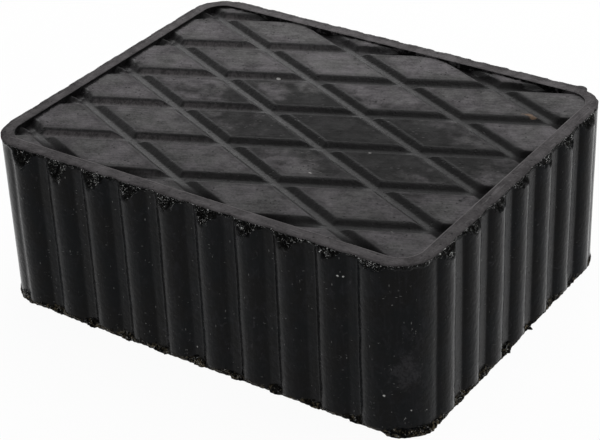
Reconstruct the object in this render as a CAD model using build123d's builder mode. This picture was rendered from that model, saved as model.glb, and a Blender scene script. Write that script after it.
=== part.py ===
"""Rubber pad for a vehicle lift: one moulded block with ribbed sides and a lozenge tread.

Millimetres. The origin is the middle of the flat underside, +X runs along the long side
and +Z points up, through the tread.
"""

import os
from math import atan2, ceil, cos, hypot, sin

from build123d import *

# Block: the body that carries the ribs, which is also the outline of the top rim
body_length = 156.0
body_width = 122.0
height = 58.5
corner_radius = 11.5

# Side ribs: upright and round-backed, with narrow flat valleys between them. Those of the
# long sides stand a little off centre, towards +X.
rib_width = 10.0
rib_rise = 2.0
long_side_ribs = 10
long_side_margin = 9.5
long_side_shift = 0.9
short_side_ribs = 7
short_side_margin = 12.0

# Rib tops: trimmed at a slant that leaves a small ledge beside the rim
trim_height = 4.5
trim_ledge = 0.2

# Tread: a sunk field of lozenges inside the rim, parted by two families of grooves that
# have sloping walls and a flat floor. One crossing lies on the long centre line, this far
# from the middle.
rim_width = 4.1
field_sink = 0.65
groove_width = 5.6
groove_floor = 2.0
groove_depth = 1.5
lozenge_length = 55.0
lozenge_width = 24.7
crossing_x = -11.8

# Ribs, worked out: each one is the part of an upright bar that stands out of the body
rib_radius = (rib_width**2 / 4 + rib_rise**2) / (2 * rib_rise)
rib_axis_inset = rib_radius - rib_rise
long_side_pitch = (body_length - 2 * long_side_margin - rib_width) / (long_side_ribs - 1)
short_side_pitch = (body_width - 2 * short_side_margin - rib_width) / (short_side_ribs - 1)
overall_length = body_length + 2 * rib_rise
overall_width = body_width + 2 * rib_rise

# Tread, worked out: each groove is the foot of a bar laid over the field
field_length = body_length - 2 * rim_width
field_width = body_width - 2 * rim_width
field_radius = corner_radius - rim_width
field_level = height - field_sink
groove_slope = atan2(lozenge_width, lozenge_length)
groove_spacing = lozenge_width * cos(groove_slope)
groove_reach = hypot(field_length, field_width) / 2 + abs(crossing_x)
grooves_in_family = 2 * ceil(groove_reach / groove_spacing) + 1

os.makedirs("parts", exist_ok=True)


# Rib envelope: the block's full outline with the slanted trim round its top
with BuildPart() as rib_envelope:
    with BuildSketch():
        RectangleRounded(overall_length, overall_width, corner_radius + rib_rise)
    extrude(amount=height)
    trimmed_face = rib_envelope.faces().sort_by(Axis.Z)[-1]
    chamfer(
        trimmed_face.edges(),
        length=rib_rise - trim_ledge,
        length2=trim_height,
        reference=trimmed_face,
    )


# Tread grooves: both families of bars, kept to the field inside the rim
with BuildPart() as tread_grooves:
    for slope in (groove_slope, -groove_slope):
        across = Plane(
            (crossing_x, 0, field_level),
            x_dir=(-sin(slope), cos(slope), 0),
            z_dir=(cos(slope), sin(slope), 0),
        )
        with BuildSketch(across):
            with GridLocations(groove_spacing, groove_spacing, grooves_in_family, 1):
                Polygon(
                    (-groove_floor / 2, -groove_depth),
                    (groove_floor / 2, -groove_depth),
                    (groove_width / 2, 0),
                    (groove_width / 2, field_sink),
                    (-groove_width / 2, field_sink),
                    (-groove_width / 2, 0),
                    align=None,
                )
        extrude(amount=groove_reach, both=True)
    with BuildSketch(Plane.XY.offset(field_level - 2 * groove_depth)):
        RectangleRounded(field_length, field_width, field_radius)
    extrude(amount=2 * groove_depth + field_sink, mode=Mode.INTERSECT)


# The pad: body and ribs in one section, trimmed, sunk inside the rim and grooved
with BuildPart() as rubber_pad:
    with BuildSketch():
        RectangleRounded(body_length, body_width, corner_radius)
        with Locations((long_side_shift, 0)):
            with GridLocations(long_side_pitch, body_width - 2 * rib_axis_inset, long_side_ribs, 2):
                Circle(rib_radius)
        with GridLocations(body_length - 2 * rib_axis_inset, short_side_pitch, 2, short_side_ribs):
            Circle(rib_radius)
    extrude(amount=height)
    add(rib_envelope.part, mode=Mode.INTERSECT)
    with BuildSketch(Plane.XY.offset(field_level)):
        RectangleRounded(field_length, field_width, field_radius)
    extrude(amount=field_sink, mode=Mode.SUBTRACT)
    add(tread_grooves.part, mode=Mode.SUBTRACT)

rubber_pad.part.label = "rubber_pad"
export_step(rubber_pad.part, "parts/rubber_pad.step")
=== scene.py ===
from collections import namedtuple
from math import atan2, ceil, cos, hypot, pi, radians, sin, sqrt

import bmesh
import bpy
from mathutils import Matrix, Vector, noise


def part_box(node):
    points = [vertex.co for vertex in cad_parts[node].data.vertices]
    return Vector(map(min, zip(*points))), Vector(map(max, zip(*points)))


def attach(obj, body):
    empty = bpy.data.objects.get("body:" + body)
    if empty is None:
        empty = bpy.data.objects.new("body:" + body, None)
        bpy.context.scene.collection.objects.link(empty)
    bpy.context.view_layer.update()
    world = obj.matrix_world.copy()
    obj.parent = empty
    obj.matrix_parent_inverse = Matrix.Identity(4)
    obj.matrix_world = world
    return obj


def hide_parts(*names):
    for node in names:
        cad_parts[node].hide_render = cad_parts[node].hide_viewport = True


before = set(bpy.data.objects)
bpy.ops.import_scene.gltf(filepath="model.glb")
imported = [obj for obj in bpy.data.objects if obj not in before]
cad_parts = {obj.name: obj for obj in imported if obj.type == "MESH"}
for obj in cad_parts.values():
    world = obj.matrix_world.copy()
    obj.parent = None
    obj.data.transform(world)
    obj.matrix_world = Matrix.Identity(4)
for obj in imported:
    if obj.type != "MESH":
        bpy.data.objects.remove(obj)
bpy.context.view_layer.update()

MM = 0.001

# ---------------------------------------------------------------------------
# Sizes in millimetres. The outer ones come from the frame, and the rest repeat
# the named sizes of the part's source.
# ---------------------------------------------------------------------------
PAD_LOW, PAD_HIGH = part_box("rubber_pad")
RIB_RISE = 2.0
RIB_WIDTH = 10.0
HEIGHT = (PAD_HIGH.z - PAD_LOW.z) / MM
BODY_LENGTH = (PAD_HIGH.x - PAD_LOW.x) / MM - 2 * RIB_RISE
BODY_WIDTH = (PAD_HIGH.y - PAD_LOW.y) / MM - 2 * RIB_RISE
CORNER_RADIUS = 11.5
LONG_SIDE_RIBS, LONG_SIDE_MARGIN, LONG_SIDE_SHIFT = 10, 9.5, 0.9
SHORT_SIDE_RIBS, SHORT_SIDE_MARGIN = 7, 12.0
TRIM_HEIGHT = 4.5
RIM_WIDTH = 4.1
FIELD_SINK = 0.65
GROOVE_WIDTH, GROOVE_FLOOR, GROOVE_DEPTH = 5.6, 2.0, 1.5
LOZENGE_LENGTH, LOZENGE_WIDTH = 55.0, 24.7
CROSSING_X = -11.8

HALF_LENGTH, HALF_WIDTH = BODY_LENGTH / 2, BODY_WIDTH / 2
CORNER_ARC = pi / 2 * CORNER_RADIUS
RIB_RADIUS = (RIB_WIDTH**2 / 4 + RIB_RISE**2) / (2 * RIB_RISE)
RIB_AXIS_INSET = RIB_RADIUS - RIB_RISE
FIELD_LEVEL = HEIGHT - FIELD_SINK
FIELD_RADIUS = CORNER_RADIUS - RIM_WIDTH
SLOPE = atan2(LOZENGE_WIDTH, LOZENGE_LENGTH)
GROOVE_SPACING = LOZENGE_WIDTH * cos(SLOPE)

# ---------------------------------------------------------------------------
# Finish of the moulding, in millimetres too. Where a size has four values, they
# are for the near long side, the +X side, the far long side and the -X side.
# TRIM_SHARES, FLASH_WIDTH and FLASH_RAMPS have one entry for the long sides and
# one for the short sides.
# ---------------------------------------------------------------------------
# Rim: how far its flat lies below the full height, how its outer edge rolls over as (drop, width),
# how far in it still follows the wall's ragged edge and by how much at most, and the worn lip along
# its inner edge, with its mean strength and the share of its height that is left at its foot
RIM_DROP = 0.10
RIM_ROLL = ((0.22, 0.5), (0.07, 1.2))
RIM_FOLLOW_WIDTH, RIM_FOLLOW_LIMIT = 2.5, 1.2
LIP_HEIGHT, LIP_WIDTH, LIP_WORN, LIP_FOOT = 0.09, 0.35, 0.65, 0.3
# Ribs: a power that makes their backs fuller, and the fillet where they meet the valleys
RIB_FULLNESS, RIB_FILLET = 0.8, 0.42
# The valleys' share of the wall's waves, and how far everything stays inside the CAD box
VALLEY_CALM = 0.6
BOX_CLEARANCE = 0.02
# Grooves: the rounding of their edges and feet, and the black skin that lines them
EDGE_SOFT, FOOT_SOFT = 0.65, 0.4
SKIN_WIDTH, SKIN_SHIFT = 6.2, 0.35
# How far the tread sinks in the strip beside the left rim
GUTTER_DEPTH = 0.25

# Rib tops: how high the slanted trim reaches, as shares of its nominal height: midway along a side,
# its change towards +X, and its change across a rib. Then its least reach, and how far below the
# slant the rubber has come away.
TRIM_SHARES = ((1.05, -0.42, -0.38), (0.72, 0.0, 0.35))
TRIM_LEAST, TRIM_HOLLOW = 0.5, 0.25
# How far the rib tops stand out beside the rim
LEDGE = (0.35, 0.25, 0.3, 0.2)
# The rim's torn outer edge: how far it hangs over, how rough it is, how far down it starts and is
# complete, and how much of the overhang the corners keep
FRINGE = (0.0, 0.0, 0.8, 0.5)
RAGGED = (0.28, 0.28, 0.45, 0.16)
FRINGE_ZONE = (2.4, 0.2)
CORNER_FRINGE = 0.6
# Torn band just below the rim: its height, and half the width of its blurred border
TORN_BAND_HEIGHT, TORN_BAND_BLUR = 1.15, 0.25

# Flash left at the foot: its lowest and highest reach and where it is between them on average, its
# width, the ramps that change the width as (change, start, end) along the side, the lumps that fill
# the valleys, and a power for how it thins upwards
FLASH_HEIGHT = (0.7, 2.9)
FLASH_MIDDLE = 0.4
FLASH_WIDTH = (0.4, 0.7)
FLASH_RAMPS = (((0.9, 45, -25), (-0.4, -45, -62)), ((0.5, 6, -10),))
FLASH_LUMP = (0.45, 0.1, 0.45, 0.1)
FLASH_FALL = 0.4
# The thick lump of it at the near right corner
CORNER_FLASH = 1.75
# Feet of the ribs: cut back below this height to a little less than the flash beside them
FOOT_TRIM, FOOT_STEP, FOOT_SLANT = 2.2, 0.25, 0.8
# Depth of rubber that has to be gone, or added, for the surface to look fully torn
CUT_TEAR, FLASH_TEAR = 0.25, 0.2
# Crumbly band at the very foot: its height, its blurred border above and below, and its mean loss
CRUMBLY_HEIGHT, CRUMBLY_BLUR, CRUMBLY_LOSS = 2.0, (0.2, 0.3), 0.05
# The wall's bottom edge: its height, and how far the underside starts inside it
EDGE_ROUND, FOOT_INSET = 0.12, 0.08
UNDERSIDE_INSET = 6.0

# Burrs that stick out of the wall: x, y, lowest and highest point, half width
BURRS = (
    (67.5, 61.0, HEIGHT - 1.3, HEIGHT, 2.1),
    (71.5, 58.5, HEIGHT - 0.9, HEIGHT, 0.8),
    (78.0, 7.7, 0.0, 0.8, 0.5),
    (78.0, -29.0, HEIGHT - 2.9, HEIGHT - 1.2, 0.8),
    (78.0, -7.0, 0.0, 1.0, 0.8),
)
BURR_SLANT = 0.6

# Layers of noise: how far each one reaches, how large its features are, and its seed, which moves
# it by so many steps. TRIM_WAVE, EDGE_WAVE, FLASH_TALL and LIP_WEAR are shares of a size, and the
# others are in millimetres.
SEED_STEP = (17.3, -5.1, 9.7)
WALL_WAVE = ((0.07, 14, 1),)
WALL_SHIFT = ((0.22, 16, 16), (0.05, 5, 17))
TRIM_WAVE = ((0.8, 11, 3),)
TRIM_FRINGE = ((1.5, 2.4, 3), (1.3, 1.2, 4), (0.6, 0.7, 5))
TRIM_BITE = ((0.60, 1.5, 6), (0.45, 0.8, 7))
TORN_BAND = ((0.7, 3, 24), (0.5, 0.9, 25))
EDGE_WAVE = ((1.0, 2.6, 14), (0.6, 0.9, 15))
FLASH_TALL = ((1.1, 6, 8),)
FLASH_WIDE = ((0.3, 9, 18),)
FLASH_FRINGE = ((0.9, 1.0, 9),)
FLASH_WAVE = ((0.35, 0.8, 10),)
FOOT_WAVE = ((0.25, 1.2, 12),)
CRUMBLY_BAND = ((1.6, 4, 26), (1.2, 1.0, 27))
CRUMBLY_WAVE = ((0.35, 0.9, 28),)
RIM_WAVE = ((0.05, 5, 20), (0.03, 1.6, 21))
LIP_WEAR = ((0.5, 6, 22),)
GROOVE_WAVE = ((0.12, 5, 30),)
FIELD_WAVE = ((0.05, 7, 31),)
GUTTER_WAVE = ((0.8, 3, 33),)

# Mesh: rows of the wall, columns across a rib, a valley and a corner, rows of the rim, lines across
# the groove's foot, edge and lozenge, and facets of the tread's corners
FINE_STEP, COARSE_STEP = 0.4, 2.3
TOP_ZONE, BOTTOM_ZONE, WALL_TOP_DROP = 9.0, 4.4, 0.45
RIB_FLANK, RIB_BACK, RIB_BACK_STEPS = [0.88, 0.95, 1], 0.78, 12
VALLEY_STEPS, CORNER_STEPS, WIDEST_VALLEY = 7, 22, 6
RIM_ROWS = [-0.12, -0.4, -0.8, -1.3, -1.9, -2.5, -3.1, -3.5]
LIP_ROWS = (1.0, 0.6, 0.25, 0.0)
FOOT_LINES = (-1.0, -0.35, 0.35, 1.0)
EDGE_LINES = (-1.35, -1.0, -0.6, -0.2, 0.2, 0.6, 1.0, 1.8)
LOZENGE_STEPS = 8
CORNER_FACETS = 9
FIELD_MARGIN, CUT_TOLERANCE = 1.0, 1e-5
HALVINGS = 40
SHARP_ANGLE = 42
VERTEX_VALUES = ("torn", "tread", "lip", "groove", "rising")


def wander(point, size, seed):
    """Smooth noise from -1 to 1 at a point, with features about as large as size."""
    x, y, z = point
    a, b, c = SEED_STEP
    return noise.noise(Vector((x / size + a * seed, y / size + b * seed, z / size + c * seed)))


def waves(point, layers, start=0.0):
    """The start plus every layer of noise at a point."""
    for reach, size, seed in layers:
        start += reach * wander(point, size, seed)
    return start


def smooth(low, high, value):
    """Rises from 0 at low to 1 at high, level at both ends."""
    t = min(max((value - low) / (high - low), 0.0), 1.0)
    return t * t * (3 - 2 * t)


def eased(value, soft):
    """The value where it is above 0, else 0, with the bend between them rounded over soft."""
    if abs(value) < soft:
        return (value + soft) ** 2 / (4 * soft)
    return max(value, 0.0)


# ---------------------------------------------------------------------------
# Outline of the body, walked anticlockwise from the start of the near long side
# ---------------------------------------------------------------------------
# A side: its run between the corners, its heading, its distance from the middle, and its ribs
Side = namedtuple("Side", "run heading reach ribs margin shift")
LONG_RUN, SHORT_RUN = BODY_LENGTH - 2 * CORNER_RADIUS, BODY_WIDTH - 2 * CORNER_RADIUS
SIDES = (
    Side(LONG_RUN, 0.0, HALF_WIDTH, LONG_SIDE_RIBS, LONG_SIDE_MARGIN, LONG_SIDE_SHIFT),
    Side(SHORT_RUN, 0.5 * pi, HALF_LENGTH, SHORT_SIDE_RIBS, SHORT_SIDE_MARGIN, 0.0),
    Side(LONG_RUN, pi, HALF_WIDTH, LONG_SIDE_RIBS, LONG_SIDE_MARGIN, -LONG_SIDE_SHIFT),
    Side(SHORT_RUN, 1.5 * pi, HALF_LENGTH, SHORT_SIDE_RIBS, SHORT_SIDE_MARGIN, 0.0),
)
PERIMETER = sum(side.run for side in SIDES) + 4 * CORNER_ARC


def directions(side):
    """The direction along a side, and the direction out of it."""
    along = Vector((cos(side.heading), sin(side.heading)))
    return along, Vector((along.y, -along.x))


def outline(s):
    """Outline point at arc length s, its outward normal, and how far it is into a corner."""
    s %= PERIMETER
    for side in SIDES:
        along, outward = directions(side)
        if s < side.run:
            return outward * side.reach + along * (s - side.run / 2), outward, 0.0
        s -= side.run
        if s < CORNER_ARC:
            angle = s / CORNER_RADIUS
            normal = outward * cos(angle) + along * sin(angle)
            centre = outward * (side.reach - CORNER_RADIUS) + along * (side.run / 2)
            return centre + normal * CORNER_RADIUS, normal, sin(2 * angle)
        s -= CORNER_ARC
    return outline(0.0)


def arc_length(x, y):
    """The arc length s whose normal runs through a point near the rim."""
    s = 0.0
    for side in SIDES:
        along, outward = directions(side)
        ahead = along.x * x + along.y * y
        out = outward.x * x + outward.y * y
        if abs(ahead) <= side.run / 2 and out > side.reach - CORNER_RADIUS:
            return s + ahead + side.run / 2
        s += side.run
        if ahead > side.run / 2 and out >= side.reach - CORNER_RADIUS:
            return s + CORNER_RADIUS * atan2(ahead - side.run / 2, out - side.reach + CORNER_RADIUS)
        s += CORNER_ARC
    raise ValueError("the point is not near the rim")


def side_number(s):
    """Number of the side that arc length s falls on, or of the side before its corner."""
    start = 0.0
    for number, side in enumerate(SIDES):
        start += side.run + CORNER_ARC
        if s % PERIMETER < start:
            return number
    return 0


def rib_stand_out(s, axis):
    """How far a rib with this axis stands out of the body at arc length s; negative off the rib."""
    point, normal, _ = outline(s)
    gap = point - axis
    b = gap.dot(normal)
    square = b * b - gap.dot(gap) + RIB_RADIUS**2
    return sqrt(square) - b if square > 0 else -1.0


def rib_profile(stand_out):
    """The rib's stand-out, made a little fuller than its arc and filleted into the valley."""
    if stand_out > 0:
        stand_out = RIB_RISE * (stand_out / RIB_RISE) ** RIB_FULLNESS
    return eased(max(stand_out, -RIB_FILLET), RIB_FILLET)


def rib_edge(s, axis, way):
    """Arc length at which a rib meets the body, going one way from its middle."""
    inside, outside = 0.0, RIB_WIDTH
    for _ in range(HALVINGS):
        middle = (inside + outside) / 2
        if rib_stand_out(s + way * middle, axis) > 0:
            inside = middle
        else:
            outside = middle
    return s + way * inside


# A column of the wall: its arc length, the rib's stand-out there, its place across the rib from -1
# to 1, and whether it is on a rib at all
Station = namedtuple("Station", "s rise share on_rib")


def place_ribs():
    """Every rib as the arc lengths of its start, middle and end, and its axis."""
    ribs = []
    start = 0.0
    for side in SIDES:
        along, outward = directions(side)
        half = side.run / 2 + CORNER_RADIUS
        pitch = (2 * half - 2 * side.margin - RIB_WIDTH) / (side.ribs - 1)
        for k in range(side.ribs):
            offset = (k - (side.ribs - 1) / 2) * pitch + side.shift
            axis = outward * (side.reach - RIB_AXIS_INSET) + along * offset
            s = start + side.run / 2 + offset
            ribs.append((rib_edge(s, axis, -1), s, rib_edge(s, axis, 1), axis))
        start += side.run + CORNER_ARC
    return ribs


def make_stations():
    """All columns of the wall, in the order of the outline."""
    across = [-share for share in reversed(RIB_FLANK)]
    across += [-RIB_BACK + 2 * RIB_BACK * k / RIB_BACK_STEPS for k in range(RIB_BACK_STEPS + 1)]
    across += RIB_FLANK
    ribs = place_ribs()
    stations = []
    for number, (low, middle, high, axis) in enumerate(ribs):
        for share in across:
            s = middle + share * (middle - low if share < 0 else high - middle)
            stations.append(Station(s, rib_profile(rib_stand_out(s, axis)), share, True))
        following, *_, next_axis = ribs[(number + 1) % len(ribs)]
        gap = (following - high) % PERIMETER
        steps = VALLEY_STEPS if gap < WIDEST_VALLEY else CORNER_STEPS
        for k in range(1, steps):
            s = high + gap * k / steps
            rise = max(rib_profile(rib_stand_out(s, each)) for each in (axis, next_axis))
            stations.append(Station(s, rise, 0.0, False))
    return stations


# ---------------------------------------------------------------------------
# Side wall, rim and underside: one grid of columns and rows
# ---------------------------------------------------------------------------
def side_levels():
    """Heights of the rows of the wall, close together where the rubber is torn."""
    levels = [EDGE_ROUND]
    while levels[-1] < BOTTOM_ZONE:
        levels.append(levels[-1] + FINE_STEP)
    for top, widest in ((HEIGHT - TOP_ZONE, COARSE_STEP), (HEIGHT - WALL_TOP_DROP, FINE_STEP)):
        start = levels[-1]
        steps = ceil((top - start) / widest)
        levels += [start + (top - start) / steps * (k + 1) for k in range(steps)]
    return levels


def trim_rib(out, here, side, share):
    """A rib's stand-out once its top is cut on a slant, and how torn the cut leaves it."""
    x, y, z = here
    middle, change, lean = TRIM_SHARES[side % 2]
    height = TRIM_HEIGHT * (middle + change * x / HALF_LENGTH) * (1 + lean * share)
    reach = height * waves((x, y, 0), TRIM_WAVE, 1) + waves(here, TRIM_FRINGE)
    ledge = LEDGE[side]
    limit = ledge + (RIB_RISE - ledge) * (HEIGHT - z) / max(reach, TRIM_LEAST)
    if out <= limit:
        return out, 0.0
    torn = min((out - limit) / CUT_TEAR, 1.0)
    return limit + torn * (waves(here, TRIM_BITE) - TRIM_HOLLOW), torn


def flash_size(here, side, corner):
    """How far up and how far out the torn flash reaches at the foot here."""
    x, y, _ = here
    low, high = FLASH_HEIGHT
    tall = low + (high - low) * min(max(waves((x, y, 0), FLASH_TALL, FLASH_MIDDLE), 0), 1)
    wide = FLASH_WIDTH[side % 2]
    for change, start, end in FLASH_RAMPS[side % 2]:
        wide += change * smooth(start, end, here[side % 2])
    corner_wide = CORNER_FLASH if x > 0 > y else FLASH_WIDTH[0]
    wide += smooth(0, 0.5, corner) * (corner_wide - wide)
    return tall, waves((x, y, 0), FLASH_WIDE, wide)


def tear_foot(out, torn, here, side, corner, on_rib):
    """Adds the flash left in the valleys, cuts the ribs back beside it, and crumbles the foot."""
    z = here[2]
    tall, wide = flash_size(here, side, corner)
    foot = waves(here, FLASH_FRINGE, tall)
    if z < foot:
        lump = 0.0 if on_rib else FLASH_LUMP[side] * (1 - smooth(0, 0.3, corner))
        web = waves(here, FLASH_WAVE, (wide + lump) * (1 - z / foot) ** FLASH_FALL)
        if web > out:
            torn = max(torn, min((web - out) / FLASH_TEAR, 1.0))
            out = web
    if z < FOOT_TRIM and on_rib:
        start = wide - FOOT_STEP
        limit = waves(here, FOOT_WAVE, start + (RIB_RISE - start) * (z / FOOT_TRIM) ** FOOT_SLANT)
        if out > limit:
            torn = max(torn, min((out - limit) / CUT_TEAR, 1.0))
            out = limit
    border = waves(here, CRUMBLY_BAND, CRUMBLY_HEIGHT)
    crumbled = smooth(border + CRUMBLY_BLUR[0], border - CRUMBLY_BLUR[1], z)
    return out - crumbled * waves(here, CRUMBLY_WAVE, CRUMBLY_LOSS), max(torn, crumbled)


def side_point(station, z, side):
    """Place of a wall vertex, and how torn the rubber is there."""
    s, rise, share, on_rib = station
    base, normal, corner = outline(s)
    here = (base.x, base.y, z)
    below_top = HEIGHT - z
    out = rise + waves(here, WALL_WAVE) * (1 if on_rib else VALLEY_CALM)
    torn = 0.0
    if on_rib:
        out, torn = trim_rib(out, here, side, share)
    border = waves(here, TORN_BAND, TORN_BAND_HEIGHT)
    torn = max(torn, smooth(border + TORN_BAND_BLUR, border - TORN_BAND_BLUR, below_top))
    out, torn = tear_foot(out, torn, here, side, corner, on_rib)
    # The rim's outer edge is ragged, and the far and left edges kept a thin fringe
    fringe = FRINGE[side] if corner == 0 else CORNER_FRINGE * FRINGE[side]
    edge = min(rise, LEDGE[side]) + fringe + RAGGED[side] * waves(here, EDGE_WAVE)
    out += smooth(*FRINGE_ZONE, below_top) * (edge - out)
    for burr_x, burr_y, low, high, half in BURRS:
        away = hypot(base.x - burr_x, base.y - burr_y)
        if low <= z <= high and away < half:
            out = max(out, RIB_RISE * (1 - BURR_SLANT * (away / half) ** 2))
            torn = 1.0
    out = min(out, RIB_RISE - BOX_CLEARANCE)
    tangent = Vector((-normal.y, normal.x))
    place = base + normal * out + tangent * waves(here, WALL_SHIFT)
    return (place.x, place.y, z), torn


def rim_point(station, offset, side, wall_top):
    """Place of a rim vertex at an offset from the body outline, and how strong its lip is."""
    base, normal, _ = outline(station.s)
    (x, y, _), _ = side_point(station, wall_top, side)
    wall = Vector((x, y)) - base
    edge = wall.dot(normal)
    follow = smooth(-RIM_FOLLOW_WIDTH, 0.0, offset)
    out = offset + follow * min(edge, RIM_FOLLOW_LIMIT)
    place = base + normal * out + (wall - normal * edge) * follow
    here = (place.x, place.y, 0)
    level = HEIGHT - RIM_DROP
    level -= sum(drop * smooth(-width, 0.0, offset) for drop, width in RIM_ROLL)
    level = waves(here, RIM_WAVE, level)
    lip = 0.0
    if offset < 0.9 * LIP_WIDTH - RIM_WIDTH:
        worn = waves(here, LIP_WEAR, LIP_WORN)
        level += LIP_HEIGHT * worn * (1.0 if offset > -RIM_WIDTH else LIP_FOOT)
        lip = min(max(worn, 0), 1)
    return (place.x, place.y, min(level, HEIGHT)), lip


def make_grid(bm, layers):
    """Builds underside, wall and rim, and returns the rim's inner loop as (arc length, vertex)."""
    stations = make_stations()
    columns = [(station, side_number(station.s)) for station in stations]
    levels = side_levels()

    def new_vertex(place, **values):
        vertex = bm.verts.new(place)
        vertex[layers["groove"]] = -GROOVE_SPACING
        for name, value in values.items():
            vertex[layers[name]] = value
        return vertex

    # Underside: a ring that one flat face closes, and the foot of the wall
    ring, foot = [], []
    for station, side in columns:
        base, normal, _ = outline(station.s)
        (x, y, _), _ = side_point(station, EDGE_ROUND, side)
        ring.append(base - normal * UNDERSIDE_INSET)
        foot.append(Vector((x, y)) - normal * FOOT_INSET)
    rows = [[new_vertex((place.x, place.y, 0.0)) for place in row] for row in (ring, foot)]
    for z in levels:
        row = [side_point(station, z, side) for station, side in columns]
        rows.append([new_vertex(place, torn=torn) for place, torn in row])
    for offset in RIM_ROWS + [share * LIP_WIDTH - RIM_WIDTH for share in LIP_ROWS]:
        row = [rim_point(station, offset, side, levels[-1]) for station, side in columns]
        rows.append([new_vertex(place, tread=1.0, lip=lip) for place, lip in row])
    for low, high in zip(rows, rows[1:]):
        for k in range(len(stations)):
            following = (k + 1) % len(stations)
            bm.faces.new((low[k], low[following], high[following], high[k]))
    bm.faces.new(list(reversed(rows[0])))
    return [(station.s % PERIMETER, vertex) for station, vertex in zip(stations, rows[-1])]


# ---------------------------------------------------------------------------
# Tread: a skewed grid whose lines run along both families of grooves
# ---------------------------------------------------------------------------
def groove_offsets():
    """Grid lines across one spacing: close together over the groove, wide over the lozenge."""
    near = [0.0] + [GROOVE_FLOOR / 2 + FOOT_SOFT * share for share in FOOT_LINES]
    near += [GROOVE_WIDTH / 2 + EDGE_SOFT * share for share in EDGE_LINES]
    span = GROOVE_SPACING - 2 * near[-1]
    middle = [near[-1] + span * k / LOZENGE_STEPS for k in range(1, LOZENGE_STEPS)]
    return near + middle + [GROOVE_SPACING - value for value in reversed(near[1:])]


def groove_fall(x, y):
    """Depth of the tread below the lozenges at a point, how far the point is inside the black skin
    of a groove (negative on a lozenge), and how much deeper the rising family is than the other,
    as a share of the full depth."""
    across = [
        (side * (x - CROSSING_X) * sin(SLOPE) + y * cos(SLOPE)) / GROOVE_SPACING for side in (-1, 1)
    ]
    offsets = [(steps - round(steps)) * GROOVE_SPACING for steps in across]
    edge = waves((x, y, 0), GROOVE_WAVE, GROOVE_WIDTH / 2)
    wall = (GROOVE_WIDTH - GROOVE_FLOOR) / 2
    rising, falling = (
        (eased(depth, EDGE_SOFT) - eased(depth - wall, FOOT_SOFT)) / wall
        for depth in (edge - abs(offset) for offset in offsets)
    )
    skin = max(SKIN_WIDTH / 2 - abs(offset - SKIN_SHIFT) for offset in offsets)
    return GROOVE_DEPTH * max(rising, falling), skin, max(rising - falling, 0.0)


def gutter_share(x, y):
    """How much the tread sinks beside the rim, which it does along the left side."""
    past_x, past_y = abs(x) + CORNER_RADIUS - HALF_LENGTH, abs(y) + CORNER_RADIUS - HALF_WIDTH
    out = hypot(max(past_x, 0.0), max(past_y, 0.0)) + min(max(past_x, past_y), 0.0)
    clear = waves((x, y, 0), GUTTER_WAVE, FIELD_RADIUS - out)
    # Only near the -X side, away from its near corner, and close to the rim
    left = smooth(12 - HALF_LENGTH, 7 - HALF_LENGTH, x)
    beyond_corner = smooth(4 - HALF_WIDTH, 11 - HALF_WIDTH, y)
    return left * beyond_corner * smooth(1.8, 0.8, clear)


def field_cuts(half_x, half_y):
    """Planes that cut the tread to its rounded outline, as (point, normal): sides, then corners."""
    cuts = [(Vector((sign * half_x, 0, 0)), Vector((sign, 0, 0))) for sign in (1, -1)]
    cuts += [(Vector((0, sign * half_y, 0)), Vector((0, sign, 0))) for sign in (1, -1)]
    for sign_x in (1, -1):
        for sign_y in (1, -1):
            centre = Vector((sign_x * (half_x - FIELD_RADIUS), sign_y * (half_y - FIELD_RADIUS), 0))
            for k in range(CORNER_FACETS):
                angle = pi / 2 * (k + 0.5) / CORNER_FACETS
                normal = Vector((sign_x * cos(angle), sign_y * sin(angle), 0))
                cuts.append((centre + normal * FIELD_RADIUS, normal))
    return cuts


def make_field(bm, layers):
    """Builds the sunk tread inside the rim's inner outline."""
    half_x, half_y = HALF_LENGTH - RIM_WIDTH, HALF_WIDTH - RIM_WIDTH
    reach = (half_x + abs(CROSSING_X)) * sin(SLOPE) + half_y * cos(SLOPE)
    cells = ceil(reach / GROOVE_SPACING)
    offsets = groove_offsets()[:-1]
    lines = [cell * GROOVE_SPACING + offset for cell in range(-cells, cells) for offset in offsets]
    lines.append(cells * GROOVE_SPACING)
    vertices = {}

    def place(i, j):
        a, b = lines[i], lines[j]
        return CROSSING_X + (b - a) / (2 * sin(SLOPE)), (a + b) / (2 * cos(SLOPE))

    def vertex(i, j):
        if (i, j) not in vertices:
            x, y = place(i, j)
            fall, skin, rising = groove_fall(x, y)
            z = FIELD_LEVEL - fall - GUTTER_DEPTH * gutter_share(x, y)
            z += waves((x, y, 0), FIELD_WAVE) * (1 - fall / GROOVE_DEPTH)
            made = bm.verts.new((x, y, min(z, HEIGHT)))
            for name, value in (("tread", 1.0), ("groove", skin), ("rising", rising)):
                made[layers[name]] = value
            vertices[i, j] = made
        return vertices[i, j]

    widest_x, widest_y = half_x + FIELD_MARGIN, half_y + FIELD_MARGIN
    for i in range(len(lines) - 1):
        for j in range(len(lines) - 1):
            corners = [(i, j), (i + 1, j), (i + 1, j + 1), (i, j + 1)]
            places = [place(*corner) for corner in corners]
            if any(abs(x) <= widest_x and abs(y) <= widest_y for x, y in places):
                bm.faces.new([vertex(*corner) for corner in corners])

    for point, normal in field_cuts(half_x, half_y):
        bmesh.ops.bisect_plane(
            bm,
            geom=[*bm.verts, *bm.edges, *bm.faces],
            dist=CUT_TOLERANCE,
            plane_co=point,
            plane_no=normal,
            clear_outer=True,
        )
    loose = [v for v in bm.verts if not v.link_faces]
    bmesh.ops.delete(bm, geom=loose, context="VERTS")


def walk_boundary(bm):
    """The open edge loop of the tread as (arc length, vertex), anticlockwise."""
    edge = {v for e in bm.edges if e.is_boundary for v in e.verts}
    return sorted(((arc_length(v.co.x, v.co.y), v) for v in edge), key=lambda item: item[0])


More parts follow.
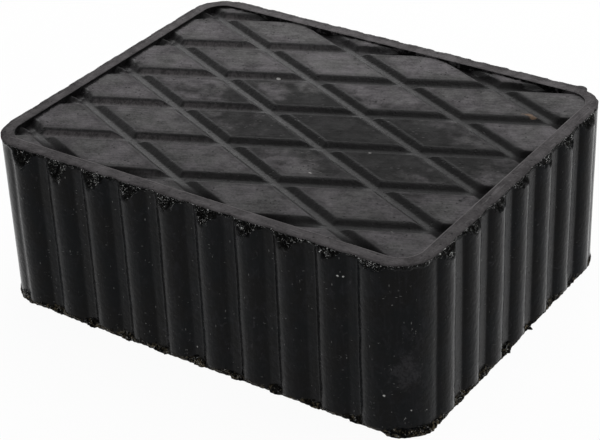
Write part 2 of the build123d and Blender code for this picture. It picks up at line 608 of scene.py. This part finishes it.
def zip_loops(bm, outer, inner):
    """Joins two closed loops of (arc length, vertex) with triangles, in the order of arc length."""
    outer = sorted(outer, key=lambda item: item[0])
    inner = sorted(inner, key=lambda item: item[0])
    outer.append((outer[0][0] + PERIMETER, outer[0][1]))
    inner.append((inner[0][0] + PERIMETER, inner[0][1]))
    i = j = 0
    while i < len(outer) - 1 or j < len(inner) - 1:
        take_outer = j == len(inner) - 1 or (
            i < len(outer) - 1 and outer[i + 1][0] <= inner[j + 1][0]
        )
        if take_outer:
            bm.faces.new((outer[i][1], outer[i + 1][1], inner[j][1]))
            i += 1
        else:
            bm.faces.new((outer[i][1], inner[j + 1][1], inner[j][1]))
            j += 1


def make_pad():
    """The whole moulding as one closed mesh in metres."""
    bm = bmesh.new()
    layers = {name: bm.verts.layers.float.new(name) for name in VERTEX_VALUES}
    make_field(bm, layers)
    inner = walk_boundary(bm)
    outer = make_grid(bm, layers)
    zip_loops(bm, outer, inner)
    bmesh.ops.recalc_face_normals(bm, faces=bm.faces)
    bm.transform(Matrix.Scale(MM, 4))
    mesh = bpy.data.meshes.new("pad_moulding")
    bm.to_mesh(mesh)
    bm.free()
    for polygon in mesh.polygons:
        polygon.use_smooth = True
    mesh.set_sharp_from_angle(angle=radians(SHARP_ANGLE))
    pad = bpy.data.objects.new("pad_moulding", mesh)
    bpy.context.scene.collection.objects.link(pad)
    return pad


# ---------------------------------------------------------------------------
# Materials
# ---------------------------------------------------------------------------
class Graph:
    """Short calls that add linked nodes to one material or world."""

    def __init__(self, owner):
        owner.use_nodes = True
        self.tree = owner.node_tree
        self.tree.nodes.clear()

    def feed(self, socket, value):
        """Links a socket to another one, or gives it a fixed value."""
        if isinstance(value, bpy.types.NodeSocket):
            self.tree.links.new(value, socket)
        else:
            socket.default_value = value

    def node(self, kind, inputs=None, **settings):
        """Adds a node with its settings and its inputs, by name or number."""
        made = self.tree.nodes.new(kind)
        for name, value in settings.items():
            setattr(made, name, value)
        for name, value in (inputs or {}).items():
            self.feed(made.inputs[name], value)
        return made

    def math(self, operation, *values):
        """One number worked out from others."""
        return self.node("ShaderNodeMath", dict(enumerate(values)), operation=operation).outputs[0]

    def chain(self, operation, first, *others):
        """The same operation over any number of values."""
        for other in others:
            first = self.math(operation, first, other)
        return first

    def add(self, *values):
        """The sum of the values."""
        return self.chain("ADD", *values)

    def times(self, *values):
        """The product of the values."""
        return self.chain("MULTIPLY", *values)

    def either(self, *values):
        """The largest of the values."""
        return self.chain("MAXIMUM", *values)

    def rest(self, share):
        """What is left of 1."""
        return self.math("SUBTRACT", 1.0, share)

    def blend(self, share, first, second):
        """The first number where the share is 0, and the second where it is 1."""
        return self.add(self.times(share, second), self.times(self.rest(share), first))

    def fade(self, value, start, end, low=0.0, high=1.0):
        """Goes smoothly from low at start to high at end."""
        inputs = {"Value": value, "From Min": start, "From Max": end, "To Min": low, "To Max": high}
        made = self.node("ShaderNodeMapRange", inputs, interpolation_type="SMOOTHSTEP")
        return made.outputs["Result"]

    def between(self, share, low, high):
        """Goes smoothly from low where the share is 0 to high where it is 1."""
        return self.fade(share, 0.0, 1.0, low, high)

    def mix(self, share, first, second):
        """The first colour where the share is 0, and the second where it is 1."""
        made = self.node("ShaderNodeMix", data_type="RGBA")
        # The node's names repeat for every kind of data, so its colour sockets go by number
        for number, value in ((0, share), (6, first), (7, second)):
            self.feed(made.inputs[number], (*value, 1.0) if isinstance(value, tuple) else value)
        return made.outputs[2]

    def shade(self, colour, factor):
        """A colour made lighter or darker by a number that varies over the surface."""
        triple = self.node("ShaderNodeCombineXYZ", {0: factor, 1: factor, 2: factor}).outputs[0]
        inputs = {0: colour, 1: triple}
        return self.node("ShaderNodeVectorMath", inputs, operation="MULTIPLY").outputs[0]


class Surface(Graph):
    """A material's graph that knows the place on the object, in millimetres."""

    def __init__(self, material):
        super().__init__(material)
        coordinates = self.node("ShaderNodeTexCoord").outputs["Object"]
        self.place = self.scaled(coordinates, (MM, MM, MM))
        self.x, self.y, self.z = self.node("ShaderNodeSeparateXYZ", {0: self.place}).outputs

    def scaled(self, place, sizes):
        """A place divided by one size for each axis."""
        inputs = {0: place, 1: tuple(1 / size for size in sizes)}
        return self.node("ShaderNodeVectorMath", inputs, operation="MULTIPLY").outputs[0]

    def stretched(self, size, turn):
        """The place divided by a size, or by a size for each axis, after a turn about Z."""
        place = self.place
        if turn:
            inputs = {"Vector": place, "Angle": -turn}
            place = self.node("ShaderNodeVectorRotate", inputs, rotation_type="Z_AXIS").outputs[0]
        return self.scaled(place, size if isinstance(size, tuple) else (size, size, size))

    def noise(self, size, detail=2.0, roughness=0.5, distortion=0.0, turn=0.0):
        """Noise around 0.5 with features about as large as size, one number or three."""
        inputs = {
            "Vector": self.stretched(size, turn),
            "Scale": 1.0,
            "Detail": detail,
            "Roughness": roughness,
            "Distortion": distortion,
        }
        return self.node("ShaderNodeTexNoise", inputs).outputs[0]

    def waver(self, reach, size, detail=2.0, roughness=0.5):
        """Noise that goes from -reach to reach."""
        return self.fade(self.noise(size, detail, roughness), 0.2, 0.8, -reach, reach)

    def dots(self, spacing, radius, turn=0.0):
        """Scattered dots: 1 in the middle, 0 outside a radius that is a share of the spacing."""
        inputs = {"Vector": self.stretched(spacing, turn), "Scale": 1.0, "Randomness": 1.0}
        far = self.node("ShaderNodeTexVoronoi", inputs).outputs["Distance"]
        return self.fade(far, radius, 0.55 * radius)

    def distance(self, middle, halves):
        """Distance from a middle, in shares of a half size for each axis that is given."""
        shares = [
            self.math("DIVIDE", self.math("SUBTRACT", axis, centre), half)
            for axis, centre, half in zip((self.x, self.y, self.z), middle, halves)
        ]
        return self.math("SQRT", self.add(*(self.times(share, share) for share in shares)))

    def clearance(self):
        """How far a point is inside the rim's inner outline; negative on the rim."""
        past_x = self.add(self.math("ABSOLUTE", self.x), CORNER_RADIUS - HALF_LENGTH)
        past_y = self.add(self.math("ABSOLUTE", self.y), CORNER_RADIUS - HALF_WIDTH)
        beyond = [self.either(past, 0.0) for past in (past_x, past_y)]
        out = self.math("SQRT", self.add(*(self.times(past, past) for past in beyond)))
        inside = self.math("MINIMUM", self.either(past_x, past_y), 0.0)
        return self.math("SUBTRACT", FIELD_RADIUS, self.add(out, inside))

    def smear(self):
        """A pale wiped patch low on the corner between the near long side and the +X side."""
        ragged = self.fade(self.noise(4, 4, 0.65), 0.25, 0.75, -0.5, 0.5)
        return self.fade(self.add(self.distance(SMEAR_PLACE, SMEAR_SIZE), ragged), 1.0, 0.3)

    def tread_spot(self, x, y, half_length, half_width):
        """A ragged spot on the tread: 1 in its middle, 0 outside."""
        far = self.distance((x, y), (half_length, half_width))
        return self.fade(self.add(far, self.waver(0.6, 1.1)), 1.1, 0.7)

    def wall_spot(self, x, y, z, size):
        """A ragged round mark on a wall: 1 in its middle, 0 outside."""
        inputs = {0: self.place, 1: (x, y, z)}
        far = self.node("ShaderNodeVectorMath", inputs, operation="DISTANCE").outputs["Value"]
        return self.fade(self.add(far, self.waver(0.5 * size, 0.7)), size, 0.6 * size)


# Walls
WALL_COLOUR = (0.0038, 0.0036, 0.0037)
COOL_COLOUR = (0.0028, 0.0040, 0.0052)
HAZE_COLOUR = (0.0175, 0.0175, 0.021)
SMEAR_COLOUR = (0.075, 0.072, 0.078)
SPECK_COLOUR = (0.90, 0.90, 0.88)
SOIL_COLOUR = (0.12, 0.100, 0.066)
# Torn rubber: the near-black of its voids is painted shade, and its bright colour is painted glints
TORN_VOID_SHADE_COLOUR = (0.0006, 0.0006, 0.0006)
CRUMB_COLOUR = (0.030, 0.030, 0.026)
GLINT_HIGHLIGHT_COLOUR = (0.92, 0.93, 0.92)
# Tread and rim
LOZENGE_COLOUR = (0.083, 0.0775, 0.0815)
WORN_COLOUR = (0.072, 0.070, 0.070)
WET_COLOUR = (0.0050, 0.0050, 0.0050)
SCUFF_COLOUR = (0.16, 0.152, 0.155)
RIM_COLOUR = (0.068, 0.063, 0.065)
# Painted highlight on the lip along the rim's inner edge; the same pale colour also paints the
# scratch lines along the rim
LIP_HIGHLIGHT_AND_SCRATCH_COLOUR = (0.175, 0.165, 0.168)
# Black skin of the grooves; the same black is painted shade beside the rim and along its inner edge
SKIN_AND_SHADE_COLOUR = (0.0042, 0.0040, 0.0042)
# Pale walls of the rising grooves at the left: partly painted light, partly ash
ASH_AND_LIT_WALL_COLOUR = (0.076, 0.070, 0.072)
CLAY_COLOUR = (0.16, 0.105, 0.068)
DUST_COLOUR = (0.40, 0.39, 0.38)
BLACK_COLOUR = (0.002, 0.002, 0.002)
SPECULAR_LEVEL = 0.08
# How metallic the torn rubber is, which deepens the painted shade in its voids and lets its painted
# glints shine
VOID_SHADE_AND_GLINT_METALLIC = 0.6

# Marks on the tread, in millimetres: x, y, half length, half width
DARK_PATCH = (20.0, -2.0, 60.0, 26.0)
PALE_PATCH = (-12.0, 38.0, 30.0, 13.0)
CLAY_SPOT = (61.8, 36.9, 2.4, 1.0)
DARK_SPOTS = ((45.4, -4.5, 0.9, 0.8), (68.9, -19.9, 0.7, 0.6), (58.7, -17.0, 1.1, 0.4))
DUST_SPOTS = (
    (-22.7, 20.9, 0.7, 0.5),
    (31.1, -8.8, 0.4, 0.35),
    (59.5, -43.0, 0.4, 0.35),
    (21.9, -28.2, 0.6, 0.25),
)
# Marks on the walls: x, y, z, half size
SMEAR_PLACE, SMEAR_SIZE = (73.5, -58.5, 22.5), (6.0, 6.0, 8.0)
WALL_SPOTS = (
    (68.2, -62.1, 14.3, 0.42),
    (69.6, -61.7, 15.9, 0.25),
    (74.6, -57.8, 8.7, 0.36),
    (53.4, -62.2, 50.6, 0.40),
    (54.8, -61.6, 50.2, 0.36),
    (-2.9, -62.0, 4.9, 0.38),
    (0.2, -61.0, 6.4, 0.30),
)

# What a painted surface gives: its colour, its roughness, and its height for the bump
Paint = namedtuple("Paint", "colour rough height")


def paint_wall(g, fine, soil):
    """Walls: satin black with a cool tinge here and there, a dull haze, smears and specks."""
    short_side = g.fade(g.x, HALF_LENGTH - 1.5, HALF_LENGTH + 1)
    broad = g.noise(17, 2)
    ripple = g.noise((1.2, 1.2, 16), 3, 0.6)
    colour = g.mix(g.fade(g.noise(13, 2, 0.6), 0.42, 0.62), WALL_COLOUR, COOL_COLOUR)

    haze = g.fade(g.noise((2.6, 2.6, 4.5), 5, 0.72, 0.5), 0.46, 0.72)
    haze = g.times(haze, g.fade(broad, 0.3, 0.65, 0.35, 1.0))
    hazy = g.either(haze, g.fade(ripple, 0.52, 0.75, 0.0, 0.55))
    hazy = g.times(hazy, g.between(short_side, 1.0, 0.4), g.fade(g.x, -60, 10, 0.55, 1.0))
    colour = g.mix(hazy, colour, HAZE_COLOUR)
    smears = g.either(g.fade(g.noise((3.2, 3.2, 5), 4, 0.65, 1.2), 0.60, 0.74), g.smear())
    smears = g.times(smears, g.fade(fine, 0.3, 0.65, 0.25, 1.0))
    colour = g.mix(g.times(smears, 0.45), colour, SMEAR_COLOUR)

    # Specks in clusters, lone ones, and scratches that run upright or level
    specks = g.times(
        g.fade(g.noise((0.45, 0.45, 0.6), 1, 0.5, 1.0), 0.66, 0.72),
        g.fade(g.noise(1.7, 1), 0.5, 0.62),
        g.fade(g.noise(6, 3, 0.6), 0.55, 0.65),
        g.between(short_side, 1.0, 0.12),
    )
    lone = g.times(
        g.dots((5.0, 5.0, 6.0), 0.038),
        g.fade(g.noise(5.1, 0), 0.51, 0.60),
        g.between(short_side, 0.75, 0.1),
    )
    scratches = g.either(
        g.times(g.dots((1.1, 1.1, 4.0), 0.13), g.fade(g.noise(4.3, 1), 0.54, 0.62)),
        g.times(g.dots((3.5, 3.5, 0.8), 0.12), g.fade(g.noise(5.3, 1), 0.54, 0.62)),
    )
    bright = g.fade(fine, 0.35, 0.7, 0.05, 0.55)
    colour = g.mix(g.times(g.either(specks, lone), bright), colour, SPECK_COLOUR)
    colour = g.mix(g.times(scratches, g.between(short_side, 0.26, 0.08)), colour, SPECK_COLOUR)
    for spot in WALL_SPOTS:
        colour = g.mix(g.times(g.wall_spot(*spot), 0.8), colour, SPECK_COLOUR)
    colour = g.mix(g.times(soil, g.fade(fine, 0.45, 0.65, 0.0, 0.25)), colour, SOIL_COLOUR)

    rough = g.add(g.fade(broad, 0.3, 0.7, 0.15, 0.23), g.times(haze, 0.06), g.times(smears, 0.2))
    rough = g.times(rough, g.between(short_side, 1.0, 0.8))
    height = g.add(
        g.times(ripple, 0.05),
        g.times(g.noise(3.5, 3), 0.09),
        g.times(g.noise(1.4, 3, 0.6), 0.13),
        g.times(fine, 0.03),
    )
    return Paint(colour, rough, height)


def paint_torn(g, fine, soil):
    """Torn edges: black voids that are painted shade, dull crumbs, soil, and painted glints on
    small facets and strands.
    """
    crumbs = g.noise(0.7, 3, 0.7)
    colour = g.mix(g.fade(crumbs, 0.52, 0.76), TORN_VOID_SHADE_COLOUR, CRUMB_COLOUR)
    colour = g.mix(g.times(soil, g.fade(fine, 0.50, 0.60)), colour, SOIL_COLOUR)
    # Painted glints: bright spots on the torn rubber, thickest in the band just under the rim
    where = g.fade(g.noise(3.2, 1), 0.47, 0.60)
    where = g.either(where, g.fade(g.z, HEIGHT - 1.2, HEIGHT - 0.8, 0.0, 0.9))
    facets = g.times(g.fade(g.noise((0.38, 0.38, 0.75), 1, 0.5, 1.8), 0.67, 0.705), where)
    strands = g.times(
        g.fade(g.noise((1.2, 1.2, 0.32), 1, 0.5, 2.5), 0.665, 0.70),
        g.fade(g.noise(1.6, 1), 0.50, 0.56),
        0.8,
    )
    painted_glints = g.times(g.either(facets, strands), g.fade(g.z, 2.5, 8.0, 0.7, 1.0))
    colour = g.mix(painted_glints, colour, GLINT_HIGHLIGHT_COLOUR)
    height = g.add(g.times(crumbs, 0.55), g.times(g.noise(1.4, 2), 0.5))
    return Paint(colour, g.between(painted_glints, 0.75, 0.35), height)


def paint_tread(g, rim, lip, groove, rising):
    """Tread and rim: matt and scuffed, with black skin left in the grooves, painted shade beside
    the rim, painted light on the grooves, a painted sheen and a painted highlight on the lip.
    """
    clear = g.clearance()
    on_rim = g.times(g.fade(clear, 0.0, -0.06), rim)
    mottle = g.noise(5, 4, 0.62)
    grain = g.noise(0.7, 3, 0.65)
    brush = g.noise((7, 0.8, 3), 3, 0.6, turn=SLOPE)

    # Lozenges: mottled, streaked along one family of grooves, darker where they are still oily
    light = g.add(
        g.fade(mottle, 0.3, 0.7, 0.72, 1.18),
        g.fade(grain, 0.25, 0.75, -0.24, 0.26),
        g.times(g.fade(brush, 0.3, 0.7, -0.17, 0.17), g.rest(on_rim)),
        g.fade(g.noise(26, 1), 0.35, 0.65, -0.07, 0.07),
        g.fade(g.distance(PALE_PATCH[:2], PALE_PATCH[2:]), 1.3, 0.5, 0.0, 0.26),
    )
    # Painted sheen: the tread and the rim get lighter towards the far left and darker towards the
    # near right
    light = g.times(light, g.fade(g.add(g.y, g.times(g.x, -0.35)), -75, 75, 0.80, 1.20))
    lozenge = g.mix(g.fade(g.noise(11, 2), 0.4, 0.65), LOZENGE_COLOUR, WORN_COLOUR)
    far = g.add(g.distance(DARK_PATCH[:2], DARK_PATCH[2:]), g.waver(0.4, 9, 4, 0.6))
    top = g.mix(g.times(g.fade(far, 1.2, 0.6), 0.92), lozenge, WET_COLOUR)

    # Rim: a little darker along the +X side, and along the far side and the -X side frayed outside
    # and darker inside, where the darkening is painted shade
    along_x = g.fade(g.x, HALF_LENGTH - 8, HALF_LENGTH - 4, 1.04, 0.86)
    top = g.mix(on_rim, top, g.shade(RIM_COLOUR, along_x))
    # Painted shade: the lozenges darken towards the edges of the grooves
    brow = g.fade(groove, -2.2, -0.3)
    top = g.shade(top, g.times(light, g.between(brow, 1.03, 0.72)))
    frayed = g.times(
        g.fade(g.add(clear, g.waver(0.9, 2.0, 3, 0.6)), -2.4, -3.4),
        g.either(
            g.fade(g.y, HALF_WIDTH - 7, HALF_WIDTH - 4),
            g.fade(g.x, 7 - HALF_LENGTH, 4 - HALF_LENGTH),
        ),
    )
    top = g.mix(g.times(frayed, 0.35), top, SKIN_AND_SHADE_COLOUR)
    far_or_left = g.either(
        g.fade(g.y, HALF_WIDTH - 10, HALF_WIDTH - 6),
        g.fade(g.x, 10 - HALF_LENGTH, 6 - HALF_LENGTH),
    )
    # Painted shade along the rim's inner edge on the far side and the -X side
    inner_edge = g.times(on_rim, far_or_left, g.fade(clear, -1.1, -0.1), 0.35)
    top = g.mix(inner_edge, top, SKIN_AND_SHADE_COLOUR)
    crosswise = g.fade(g.math("ABSOLUTE", g.x), HALF_LENGTH - 7, HALF_LENGTH - 5)
    along_rim = g.blend(crosswise, g.noise((8, 0.5, 3), 3, 0.6), g.noise((0.5, 8, 3), 3, 0.6))
    top = g.mix(g.times(on_rim, g.fade(along_rim, 0.56, 0.70), 0.35), top, LIP_HIGHLIGHT_AND_SCRATCH_COLOUR)
    pits = g.times(g.dots(1.9, 0.22), g.fade(g.noise(3.1, 1), 0.48, 0.58))
    top = g.mix(g.times(pits, 0.75), top, SKIN_AND_SHADE_COLOUR)
    scuffs = g.times(g.dots((3.4, 1.0, 3.0), 0.18, turn=SLOPE), g.fade(g.noise(6, 2), 0.46, 0.60))
    top = g.mix(g.times(scuffs, 0.5), top, SCUFF_COLOUR)

    # Grooves keep the black skin, and a strip beside the rim that widens at the groove ends is
    # painted shade in the same black
    width = g.add(
        g.fade(g.x, 8 - HALF_LENGTH, 18 - HALF_LENGTH, 1.1, 0.1),
        g.times(
            g.fade(groove, -1.5, 0.5, 0.0, 2.6),
            g.fade(g.x, 12 - HALF_LENGTH, 22 - HALF_LENGTH, 1.0, 0.65),
        ),
        g.fade(g.y, 4 - HALF_WIDTH, 10 - HALF_WIDTH, -2.5, 0.0),
        g.fade(g.x, HALF_LENGTH - 16, HALF_LENGTH - 8, 0.0, -2.5),
    )
    rim_shade_strip = g.add(clear, g.waver(1.0, 2.4, 4, 0.65), g.times(width, -1.0))
    skin = g.either(
        g.fade(groove, -0.35, 0.65), g.times(g.fade(rim_shade_strip, 0.3, -0.3), g.rest(on_rim))
    )
    # Painted light on the skin: lighter towards the left and the far side, with painted shade close
    # to the rim, broken by ticks. The rising family's walls at the left are paler still, partly
    # painted light and partly ash in ticks
    ticks = g.noise((1.1, 2.0, 2.0), 4, 0.7, 1.0, turn=SLOPE)
    painted_light_and_ticks = g.times(
        g.fade(g.add(g.times(g.y, 0.6), g.times(g.x, -1.0)), -15, 75, 1.0, 3.6),
        g.fade(ticks, 0.36, 0.66, 0.45, 1.9),
        g.fade(clear, 0.6, 3.0, 0.6, 1.0),
    )
    ash_and_lit_wall = g.times(
        g.fade(rising, 0.2, 0.5),
        g.fade(g.x, 8, -60, 0.0, 1.0),
        g.fade(ticks, 0.34, 0.6, 0.25, 0.9),
        g.fade(clear, 1.5, 5.0),
        g.fade(groove, 0.25, 0.8),
    )
    lining = g.mix(ash_and_lit_wall, g.shade(SKIN_AND_SHADE_COLOUR, painted_light_and_ticks), ASH_AND_LIT_WALL_COLOUR)
    top = g.mix(g.times(skin, 0.97), top, lining)
    # Painted highlight on the lip, on the near side and the +X side only
    top = g.mix(g.times(lip, g.between(far_or_left, 0.85, 0.0)), top, LIP_HIGHLIGHT_AND_SCRATCH_COLOUR)
    for spot in DUST_SPOTS:
        top = g.mix(g.times(g.tread_spot(*spot), 0.85), top, DUST_COLOUR)
    for spot in DARK_SPOTS:
        top = g.mix(g.tread_spot(*spot), top, BLACK_COLOUR)
    top = g.mix(g.times(g.tread_spot(*CLAY_SPOT), 0.8), top, CLAY_COLOUR)

    skin_rough = g.add(
        g.fade(g.x, -75, -15, 0.36, 0.28),
        g.fade(g.x, -15, 60, 0.0, 0.09),
        g.fade(clear, 7.0, 2.5, 0.0, 0.6),
        g.times(ash_and_lit_wall, 0.2),
    )
    skin_rough = g.blend(g.fade(rim_shade_strip, 0.6, 0.0), skin_rough, 0.3)
    rough = g.blend(skin, g.fade(mottle, 0.3, 0.7, 0.80, 0.68), skin_rough)
    height = g.add(
        g.times(grain, 0.12), g.times(brush, 0.06), g.times(mottle, 0.16), g.times(pits, -0.12)
    )
    return Paint(top, rough, height)


def make_rubber():
    """Moulded rubber: satin black walls, torn black edges with painted shade in their voids and
    painted glints, and a matt, scuffed grey tread.
    """
    material = bpy.data.materials.new("moulded_rubber")
    g = Surface(material)
    torn, tread, lip, groove, rising = (
        g.node("ShaderNodeAttribute", attribute_name=name).outputs["Fac"] for name in VERTEX_VALUES
    )
    fine = g.noise(0.8, 3, 0.6)
    soil = g.times(g.fade(g.z, 3.6, 1.4), g.fade(g.noise(3, 4, 0.65), 0.36, 0.56))
    rim = g.fade(tread, 0.5, 0.6)
    walls = paint_wall(g, fine, soil)
    tears = paint_torn(g, fine, soil)
    top = paint_tread(g, rim, lip, groove, rising)

    side_height = g.add(walls.height, g.times(torn, tears.height))
    bump_height = g.blend(rim, side_height, top.height)
    bump = g.node("ShaderNodeBump", {"Strength": 1.0, "Distance": MM, "Height": bump_height})
    shader = g.node(
        "ShaderNodeBsdfPrincipled",
        {
            "Base Color": g.mix(rim, g.mix(torn, walls.colour, tears.colour), top.colour),
            "Roughness": g.blend(rim, g.blend(torn, walls.rough, tears.rough), top.rough),
            # The torn rubber is part metallic, to deepen the painted shade in its voids and
            # brighten its painted glints
            "Metallic": g.times(g.rest(rim), torn, VOID_SHADE_AND_GLINT_METALLIC),
            "Normal": bump.outputs[0],
            "Specular IOR Level": SPECULAR_LEVEL,
        },
    )
    g.node("ShaderNodeOutputMaterial", {"Surface": shader.outputs[0]})
    return material


# ---------------------------------------------------------------------------
# Stage: pale floor, white surroundings and three soft lamps, in metres
# ---------------------------------------------------------------------------
FLOOR_HALF_SIZE, FLOOR_GAP = 2.5, 0.00005
FLOOR_COLOUR = (0.80, 0.80, 0.80, 1)
FLOOR_GLOW = 0.955
WHITE = (1, 1, 1, 1)
AMBIENT_STRENGTH = 0.2
LAMPS = (
    # name, direction to the lamp (azimuth from -Y towards +X, elevation), size, power
    ("overhead", 160.0, 72.0, 0.9, 7.0),
    ("behind", -145.0, 33.0, 0.9, 5.0),
    ("right", 150.0, 30.0, 0.7, 2.0),
)
LAMP_DISTANCE = 1.2


def seen_directly(g):
    """1 for rays that show the surroundings themselves, in the view, in gloss or through glass."""
    rays = g.node("ShaderNodeLightPath").outputs
    return g.either(rays["Is Camera Ray"], rays["Is Glossy Ray"], rays["Is Transmission Ray"])


def make_floor():
    """A pale floor that looks white, and keeps the pad's shadow."""
    bm = bmesh.new()
    bmesh.ops.create_grid(bm, x_segments=8, y_segments=8, size=FLOOR_HALF_SIZE)
    mesh = bpy.data.meshes.new("floor")
    bm.to_mesh(mesh)
    bm.free()
    floor = bpy.data.objects.new("floor", mesh)
    floor.location.z = -FLOOR_GAP
    bpy.context.scene.collection.objects.link(floor)
    material = bpy.data.materials.new("floor")
    g = Graph(material)
    plain, shadowed = (
        g.node("ShaderNodeBsdfDiffuse", {"Color": colour}).outputs[0]
        for colour in (FLOOR_COLOUR, WHITE)
    )
    white = g.node("ShaderNodeEmission", {"Color": WHITE, "Strength": 1.0}).outputs[0]
    shown = g.node("ShaderNodeMixShader", {0: FLOOR_GLOW, 1: shadowed, 2: white}).outputs[0]
    both = g.node("ShaderNodeMixShader", {0: seen_directly(g), 1: plain, 2: shown}).outputs[0]
    g.node("ShaderNodeOutputMaterial", {"Surface": both})
    mesh.materials.append(material)


def make_world():
    """White where it is seen, and a low even light elsewhere."""
    world = bpy.data.worlds.new("surroundings")
    bpy.context.scene.world = world
    g = Graph(world)
    strength = g.between(seen_directly(g), AMBIENT_STRENGTH, 1.0)
    background = g.node("ShaderNodeBackground", {"Color": WHITE, "Strength": strength})
    g.node("ShaderNodeOutputWorld", {"Surface": background.outputs[0]})


def direction(azimuth, elevation):
    """Unit vector for an azimuth from -Y towards +X and an elevation, both in degrees."""
    a, e = radians(azimuth), radians(elevation)
    return Vector((sin(a) * cos(e), -cos(a) * cos(e), sin(e)))


def make_lamps():
    """Square soft lamps that face the pad."""
    for name, azimuth, elevation, size, power in LAMPS:
        data = bpy.data.lights.new(name, "AREA")
        data.shape = "SQUARE"
        data.size = size
        data.energy = power
        lamp = bpy.data.objects.new(name, data)
        away = direction(azimuth, elevation)
        lamp.location = away * LAMP_DISTANCE
        lamp.rotation_euler = away.to_track_quat("Z", "Y").to_euler()
        bpy.context.scene.collection.objects.link(lamp)


# ---------------------------------------------------------------------------
# Camera: millimetres and degrees, with the lens for a sensor 36 mm wide
# ---------------------------------------------------------------------------
CAMERA_AIM = (1.05, -4.28, 22.42)
CAMERA_DISTANCE = 594.5
CAMERA_AZIMUTH = 34.85
CAMERA_ELEVATION = 31.10
CAMERA_ROLL = -2.33
CAMERA_LENS = 110.05
CAMERA_SENSOR = 36.0


def make_camera():
    """The camera stands right of the near long side, above it, and leans a little."""
    back = direction(CAMERA_AZIMUTH, CAMERA_ELEVATION)
    data = bpy.data.cameras.new("camera")
    data.lens = CAMERA_LENS
    data.sensor_width = CAMERA_SENSOR
    data.clip_start = 0.01
    camera = bpy.data.objects.new("camera", data)
    turn = back.to_track_quat("Z", "Y").to_matrix().to_4x4()
    place = Matrix.Translation((Vector(CAMERA_AIM) + back * CAMERA_DISTANCE) * MM)
    camera.matrix_world = place @ turn @ Matrix.Rotation(radians(CAMERA_ROLL), 4, "Z")
    bpy.context.scene.collection.objects.link(camera)
    bpy.context.scene.camera = camera


pad = make_pad()
pad.data.materials.append(make_rubber())
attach(pad, "root")
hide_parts("rubber_pad")
make_floor()
make_world()
make_lamps()
make_camera()
bpy.context.scene.view_settings.view_transform = "Standard"
